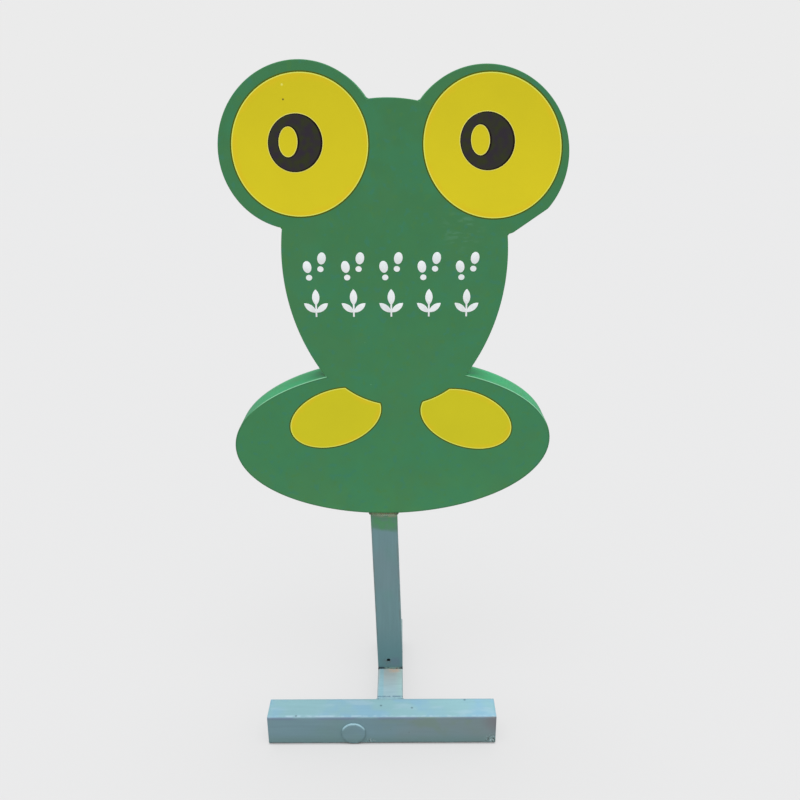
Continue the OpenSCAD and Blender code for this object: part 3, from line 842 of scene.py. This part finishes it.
def sheet(rings, place, gap):
    """A closed sheet from rings of (x, z) points with their lift, the rear one first. Its front is
    filled with points that lie a gap apart."""
    points = [place(x, z, lift) for ring, lift in rings for x, z in ring]
    flat_rings = [ring for ring, lift in rings]
    count = len(flat_rings[0])
    faces = [face for face in skin(flat_rings)[1] if len(face) == 4]
    faces += [tuple(reversed(face)) for face in filled(flat_rings[0], [])]
    near_rim, rim_gap = finder(flat_rings[-1]), 0.6 * gap
    xs, zs = zip(*flat_rings[-1])
    spots = []
    for i in range(int((max(xs) - min(xs)) / gap) + 1):
        for j in range(int((max(zs) - min(zs)) / gap) + 1):
            x, z = min(xs) + (i + 0.5 * (j % 2)) * gap, min(zs) + j * gap
            if near_rim.find((x, z, 0))[2] > rim_gap:
                spots.append((x, z))
    top, lift = len(points) - count, rings[-1][1]
    points += [place(x, z, lift) for x, z in spots]
    faces += [tuple(top + i for i in face) for face in filled(flat_rings[-1], spots)]
    return points, faces


edge_profile = [(0.0, -sheet_t)] + [(inset, -drop) for drop, inset in quarter(1.2 * mm)]
edge_profile += [(1.8 * mm, 0.0), (2.6 * mm, 0.0), (4 * mm, 0.0)]
sheet_rings = [(ring_of(outline(inset)), lift) for inset, lift in edge_profile]

face_green = green_finish("green paint on the sheets", 0.3,
                          (0.0405, 0.21, 0.0765), (0.0385, 0.186, 0.0635))
rub_zone = face_green.near((94 * mm, face_y, 757.5 * mm), 34 * mm)
rub = rub_zone * face_green.cloud(5 * mm, stretch=(0.3, 1, 1), shift=3).rise(0.5, 0.7)
face_green.lay((0.09, 0.27, 0.15), 0.5 * rub)
rain = face_green.along(1).rise(face_y + 10 * mm, back_y - 10 * mm)
rain = rain * face_green.cloud(16 * mm, stretch=(1, 1, 0.12), shift=23).rise(0.45, 0.72)
face_green.lay((0.07, 0.25, 0.115), 0.4 * rain)
face_green.close(0.42 + 0.16 * face_green.mottle, face_green.relief, 0.05 * mm)

# How strongly each ring of the edge is painted, above 0 as a pale highlight and below 0 as shade, on the
# body's shoulders and lower edges, and the height at which the highlight starts on the right and on the
# left
edge_light_shares = (0, 0, 1, 1, 1, 1, 0.2, -1, 0, 0)
shoulder_z, shoulder_fade = (480 * mm, 500 * mm), 20 * mm
body_count = runs["body"][2]
for sheet_name, place, node in (("face_sheet", on_face, "face_panel"),
                                ("back_sheet", on_back, "back_panel")):
    sheet_points, sheet_faces = sheet(sheet_rings, place, 7 * mm)
    ring_count = len(sheet_rings[0][0])
    shoulder_light_and_shade = [min(1.0, max(-0.6, (z - shoulder_z[x < 0]) / shoulder_fade))
                for x, z in sheet_rings[0][0][:body_count]]
    shoulder_light_and_shade += [0.0] * (ring_count - body_count)
    sheet_light_and_shade = [rub * (share if rub > 0 else abs(share)) for share in edge_light_shares for rub in shoulder_light_and_shade]
    sheet_light_and_shade += [0.0] * (len(sheet_points) - len(sheet_light_and_shade))
    piece(sheet_name, solid(sheet_points, sheet_faces, face_green, sheet_light_and_shade), "green_paint", node)

# Corner beads: short weld beads down the six inward corners of the outline, where two bands
# meet. They are painted with the bands.

corner_paths = [[(arc[0][0], band_front + i * 2 * mm, arc[0][1]) for i in range(24)]
                for arc in outer_edge.values()]
piece("corner_beads", bead(corner_paths, 1.5 * mm, band_green, 0.15), "green_paint")

# Collar weld: a bead round the post where it enters the sign from below. Its olive paint has gone brown
# with rust and dark at the ends, and the bead's lower side has a pale painted highlight.

collar_ends = [(collar_x + offset * mm, post_low.y, collar_z - 1 * mm) for offset in (-21, 21)]
collar_finish = weld_finish("collar bead", (0.105, 0.155, 0.08), (0.12, 0.13, 0.065),
                            (0.07, 0.09, 0.055), 0.35, collar_ends, collar_z - 1.3 * mm)
bottom = [p for p in body_outer if p[1] < middles["body"][1]]
collar_path = []
for across, up, *_ in section(post_w, post_w, post_corner):
    ring_x = collar_x + across
    ring_z = min(bottom, key=lambda p: abs(p[0] - ring_x))[1]
    collar_path.append((ring_x, post_mid_y + up, ring_z - 1.5 * mm))
piece("collar_bead", bead([collar_path], 3.1 * mm, collar_finish, 0.3, closed=True),
      "rusty_weld", "collar_weld")

# Irises and belly patches: yellow film stuck on the painted front. Its edge is a sharp step, with
# a thin line of dirt against it. The patches are ovals cut by the chin's curve.

film_t = 0.3 * mm
yellow = Finish("yellow film", 0.25)
yellow_up = yellow.along(2).rise(560 * mm, 700 * mm)
yellow.tint = yellow.mix((0.618, 0.552, 0.0045), (0.705, 0.588, 0.004), yellow_up)
yellow_top = yellow.along(2).rise(800 * mm, 950 * mm)
yellow.lay((0.645, 0.54, 0.0025), yellow_top)
yellow.dim(0.96 + 0.08 * yellow.cloud(50 * mm))
warm = yellow.edge_wear_and_light.rise(0.02, 0.25) * yellow.cloud(35 * mm, shift=5).rise(0.4, 0.56)
yellow.lay((0.77, 0.5, 0.004), 0.35 * warm)
yellow_edge = yellow.edge_wear_and_light.rise(0.45, 0.85)
yellow.lay((0.74, 0.8, 0.13), 0.85 * yellow_edge)
pinhole = yellow.near((-132 * mm, face_y - film_t, 918 * mm), 1.6 * mm)
yellow.lay((0.08, 0.06, 0.01), pinhole)
nib_spot = yellow.near((-132.5 * mm, face_y - film_t, 935 * mm), 2 * mm)
yellow.lay((0.9, 0.85, 0.2), 0.6 * nib_spot)
yellow.close(0.45 + 0.1 * yellow.cloud(15 * mm), yellow.cloud(3 * mm), 0.02 * mm)

grime = Finish("dirt line", 0.15)
grime.tint = grime.mix((0.06, 0.1, 0.002), (0.09, 0.12, 0.002), grime.cloud(8 * mm))
grime.close(0.8 + 0.1 * grime.cloud(4 * mm), grime.cloud(1 * mm), 0.02 * mm)


def film(name, ring_at, node):
    """A film with its line of dirt. ring_at(inset) gives its outline, moved inwards by an inset. The
    profile's rows are an inset, a lift and how worn the film is there."""
    profile = [(-1.8 * mm, 0.0, 0.0), (-1.7 * mm, 0.05 * mm, 0.0), (0.0, 0.06 * mm, 0.0),
               (0.0, 0.8 * film_t, 1.0), (0.08 * mm, film_t, 1.0), (1.1 * mm, film_t, 0.8),
               (1.7 * mm, film_t, 0.3), (4 * mm, film_t, 0.22)]
    rings = [(ring_at(inset), lift) for inset, lift, _ in profile]
    points, faces = sheet(rings, on_face, 6 * mm)
    count = len(rings[0][0])
    edge_wear_and_light = [rub for *_, rub in profile for _ in range(count)]
    edge_wear_and_light += [0.0] * (len(points) - len(edge_wear_and_light))
    mesh = solid(points, faces, yellow, edge_wear_and_light)
    mesh.materials.append(grime.material)
    for polygon in mesh.polygons:
        on_rim = all(i < 3 * count for i in polygon.vertices)
        polygon.material_index = 1 if on_rim else 0
    piece(name, mesh, "yellow_film", node)


def oval_ring(middle, size, inset, count=240):
    """Points on an oval's edge, one for each of a count of even directions."""
    return [on_oval(middle, size, tau * i / count, inset) for i in range(count)]


left_iris_at, right_iris_at = (-114 * mm, 862.5 * mm), (129.5 * mm, 860.5 * mm)
for side, iris_at, iris_l, iris_name in ((-1, left_iris_at, 176.5 * mm, "left_iris"),
                                         (1, right_iris_at, 180.5 * mm, "right_iris")):
    iris_size = (iris_l, 170 * mm, radians(-48 * side))
    film(iris_name + "_film", lambda inset: oval_ring(iris_at, iris_size, inset), iris_name)

chin_at, chin_r = (9 * mm, 631.5 * mm), 119.5 * mm


def patch_ring(side, middle):
    """The outline of one belly patch. Its inner upper side follows the chin."""
    size = (136 * mm, 84.5 * mm, radians(-20.5 * side))

    def ring_at(inset):
        radius = chin_r + inset

        def under_chin(angle):
            return dist(on_oval(middle, size, angle, inset), chin_at) > radius

        oval_count, chin_count = 200, 48
        low, high = clear_span(under_chin, 270, 0.5)
        ring = [on_oval(middle, size, low + (high - low) * i / oval_count, inset)
                for i in range(oval_count + 1)]
        first, last = (atan2(z - chin_at[1], x - chin_at[0]) for x, z in (ring.pop(), ring[0]))
        for i in range(chin_count):
            turn = first + (last - first) * i / chin_count
            ring.append((chin_at[0] + radius * cos(turn), chin_at[1] + radius * sin(turn)))
        return ring

    return ring_at


film("left_patch_film", patch_ring(-1, (-81 * mm, 492.5 * mm)), "left_belly_patch")
film("right_patch_film", patch_ring(1, (106 * mm, 490 * mm)), "right_belly_patch")

# Pupils: discs of black film on the irises, each with an oval hole in which the yellow shows as a
# glint. A thin pale line of glue shows round their cut edges, which are a little darker.

black = Finish("black film", 0.12)
black.tint = black.mix((0.03, 0.0225, 0.033), (0.031, 0.036, 0.0125),
                       black.cloud(10 * mm, detail=1).rise(0.28, 0.72))
black.lay((0.009, 0.002, 0.0005), black.edge_wear_and_light)
black.close(0.42 + 0.12 * black.cloud(12 * mm), black.cloud(3 * mm), 0.02 * mm)

glue = Finish("glue line", 0.25)
glue.tint = glue.mix((0.78, 0.72, 0.09), (0.86, 0.82, 0.24), glue.cloud(12 * mm))
glue.close(0.5 + 0.1 * glue.cloud(9 * mm), glue.cloud(2 * mm), 0.02 * mm)


def pupil(name, side, middle, node):
    """A disc with an oval hole: rings round the wall, from the disc's foot in to the hole's foot."""
    count, glue_w = 180, 0.9 * mm
    disc_size = (71.5 * mm, 68 * mm, radians(-57 * side))
    hole_at = (middle[0] - 9 * mm, middle[1] + 1.5 * mm)
    hole_size = (24 * mm, 37 * mm, radians(4 * side))
    disc, glue_out = (oval_ring(middle, disc_size, inset, count) for inset in (0.0, -glue_w))
    hole, glue_in = (oval_ring(hole_at, hole_size, inset, count) for inset in (0.0, glue_w))
    flat = [(0.0, 1.8, 1.0), (0.01, 2.0, 1.0), (0.055, 2.0, 1.0), (0.09, 2.0, 0.0), (0.3, 2.0, 0.0),
            (0.5, 2.0, 0.0), (0.7, 2.0, 0.0), (0.91, 2.0, 0.0), (0.945, 2.0, 1.0), (0.99, 2.0, 1.0),
            (1.0, 1.8, 1.0)]
    profile = [(glue_out, 1.0), (glue_out, 1.05), (disc, 1.08)]
    for share, lift, _ in flat:
        between = [(a[0] + (b[0] - a[0]) * share, a[1] + (b[1] - a[1]) * share)
                   for a, b in zip(disc, hole)]
        profile.append((between, lift))
    profile += [(hole, 1.08), (glue_in, 1.05), (glue_in, 1.0)]
    rings = [[on_face(x, z, lift * film_t) for x, z in ring] for ring, lift in profile]
    edges = [1.0] * 3 + [dark for *_, dark in flat] + [1.0] * 3
    mesh = solid(*skin(rings, joined=True), black, [dark for dark in edges for _ in range(count)])
    mesh.materials.append(glue.material)
    for i, polygon in enumerate(mesh.polygons):
        polygon.material_index = 0 if 2 <= i // count < len(rings) - 3 else 1
    piece(name, mesh, "black_film", node)


pupil("left_pupil_film", -1, (left_iris_at[0] - 5.5 * mm, left_iris_at[1] + 4 * mm), "left_pupil")
pupil("right_pupil_film", 1, (right_iris_at[0] - 6.5 * mm, right_iris_at[1] + 7.5 * mm), "right_pupil")

# Motif rows: five pairs of shoe prints, and five leaf sprigs under them, cut from white film and
# stuck on the front at an even pitch.

white = Finish("white film", 0.3)
white.tint = white.mix((0.86, 0.88, 0.88), (0.78, 0.82, 0.81), white.cloud(30 * mm).rise(0.4, 0.7))
white.close(0.45 + 0.1 * white.cloud(12 * mm), white.cloud(3 * mm), 0.02 * mm)
motif_h, motif_pitch = 38 * mm, 51 * mm

row_tree = Growth("motif row")
row_count = row_tree.ask("Count", "NodeSocketInt")
row_pitch = row_tree.ask("Pitch")
row_start = row_tree.ask("Start")
row_step = row_tree.add("ShaderNodeCombineXYZ", {}, {"X": row_pitch})
row_first = row_tree.add("ShaderNodeCombineXYZ", {}, {"X": row_start})
row_line = row_tree.add("GeometryNodeMeshLine", {}, {"Count": row_count, "Start Location": row_first,
                                                     "Offset": row_step})
row_tree.close(row_tree.add("GeometryNodeInstanceOnPoints", {},
                            {"Points": row_line, "Instance": row_tree.start}))


def cutting(outlines, level):
    """One motif's film from flat outlines about its middle, lying flat at the row's level."""
    points, faces = [], []
    for ring in outlines:
        middle = (sum(p[0] for p in ring) / len(ring), sum(p[1] for p in ring) / len(ring))
        rings = []
        for shrink, lift in ((1.0, 0.0), (1.0, 0.8 * film_t), (0.985, film_t)):
            rings.append([(middle[0] + (x - middle[0]) * shrink, -lift,
                           level + middle[1] + (z - middle[1]) * shrink) for x, z in ring])
        ring_points, ring_faces = skin(rings)
        faces += [tuple(i + len(points) for i in face) for face in ring_faces]
        points += ring_points
    return points, faces


def motif_row(name, outlines, level, node):
    motif = solid(*cutting(outlines, level), white)
    row = row_tree.run(motif, white, {"Count": 5, "Pitch": motif_pitch, "Start": -2 * motif_pitch})
    for vertex in row.vertices:
        x, depth, z = vertex.co
        vertex.co = on_face(x, z, -depth)
    piece(name, row, "white_film", node)


def turned(ring, degrees, shift):
    c, s = cos(radians(degrees)), sin(radians(degrees))
    return [(shift[0] + x * c - z * s, shift[1] + x * s + z * c) for x, z in ring]


def oval(width, height, rise):
    return [(a * width / 2, rise + b * height / 2) for a, b in circle(1.0, 48)]


sole = oval(0.30 * motif_h, 0.42 * motif_h, 0.13 * motif_h)
heel = oval(0.22 * motif_h, 0.20 * motif_h, -0.25 * motif_h)
prints = [turned(part, -8 * side, (side * 0.24 * motif_h, side * 0.15 * motif_h))
          for side in (-1, 1) for part in (sole, heel)]
motif_row("shoe_print_films", prints, 710.5 * mm, "upper_motif_row")


def leaf(length, width):
    """A pointed leaf that stands on the origin, between two equal bows."""
    bow = (length ** 2 + width ** 2) / (4 * width)
    half = asin(length / 2 / bow)
    turns = [half - 2 * half * i / 20 for i in range(20)]
    right = [(bow * cos(t) - (bow - width / 2), length / 2 - bow * sin(t)) for t in turns]
    return right + [(-x, length - z) for x, z in right]


stem = [(-0.03 * motif_h, 0.0), (0.03 * motif_h, 0.0), (0.03 * motif_h, 0.62 * motif_h),
        (-0.03 * motif_h, 0.62 * motif_h)]
sprig = [turned(stem, 0, (0, -motif_h / 2)),
         turned(leaf(0.58 * motif_h, 0.26 * motif_h), 0, (0, -0.08 * motif_h))]
for side in (-1, 1):
    sprig.append(turned(leaf(0.54 * motif_h, 0.22 * motif_h), 52 * side, (0, -0.34 * motif_h)))
motif_row("leaf_sprig_films", sprig, 660.5 * mm, "lower_motif_row")

# Studio: a plain pale floor that runs out of sight and keeps a thin dark line beside the crossbar,
# an even pale sky and one very soft light straight overhead. The camera stands in front, at 0.9 m,
# and looks 21 degrees down.

pale = (0.831, 0.831, 0.831)
far = 30
floor_points = [(-far, -far, 0), (far, -far, 0), (far, far, 0), (-far, far, 0)]
floor_finish = Finish("studio floor", 0.0)
floor_finish.tint = floor_finish.mix((0.49, 0.465, 0.45), (0.50, 0.475, 0.46), floor_finish.cloud(2.0))
# How far the floor shows as the plain pale background to the camera and in reflections
rays = [floor_finish.add("ShaderNodeLightPath", output=kind)
        for kind in ("Is Camera Ray", "Is Glossy Ray", "Is Transmission Ray")]
plain_share = 0.72
seen = plain_share * rays[0].maths("MAXIMUM", rays[0], rays[1].maths("MAXIMUM", rays[1], rays[2]))


def beside(low, high):
    """1 on the floor close to a tube that lies on it, falling to 0 at 4 mm from its sides."""
    across, along, reach = floor_finish.along(0), floor_finish.along(1), 4 * mm
    gaps = (across.rise(low.x - reach, low.x), across.rise(high.x + reach, high.x),
            along.rise(low.y - reach, low.y), along.rise(high.y + reach, high.y))
    return gaps[0] * gaps[1] * gaps[2] * gaps[3]


seen = seen * (1 - beside(bar_low, bar_high))
floor_finish.lay((0, 0, 0), seen)
floor_finish.close(0.9 + 0.05 * floor_finish.cloud(1.0), floor_finish.cloud(0.5), 0.0)
floor_finish.feed(floor_finish.shader.inputs["Emission Color"],
                  floor_finish.mix((0, 0, 0), pale, seen))
floor_finish.shader.inputs["Emission Strength"].default_value = 1.0
placed("floor", solid(floor_points, [(0, 1, 2, 3)], floor_finish))

world = bpy.data.worlds.new("studio")
world.use_nodes = True
world.node_tree.nodes["Background"].inputs["Color"].default_value = (*pale, 1)
bpy.context.scene.world = world

lamp = bpy.data.lights.new("overhead", "SUN")
lamp.energy = 2.9
lamp.color = (0.9, 1.0, 1.1)
lamp.angle = radians(60)
placed("overhead", lamp)

camera_at = (11.34 * mm, bar_low.y - 912.49 * mm, 904.49 * mm)
look_down, roll = 20.663, -0.225
camera = placed("camera", bpy.data.cameras.new("camera"))
camera.data.sensor_width = 36
camera.data.lens = 34.54
camera.matrix_world = (Matrix.Translation(camera_at)
                       @ Matrix.Rotation(radians(90 - look_down), 4, "X")
                       @ Matrix.Rotation(radians(roll), 4, "Z"))
bpy.context.scene.camera = camera
bpy.context.scene.view_settings.view_transform = "Standard"
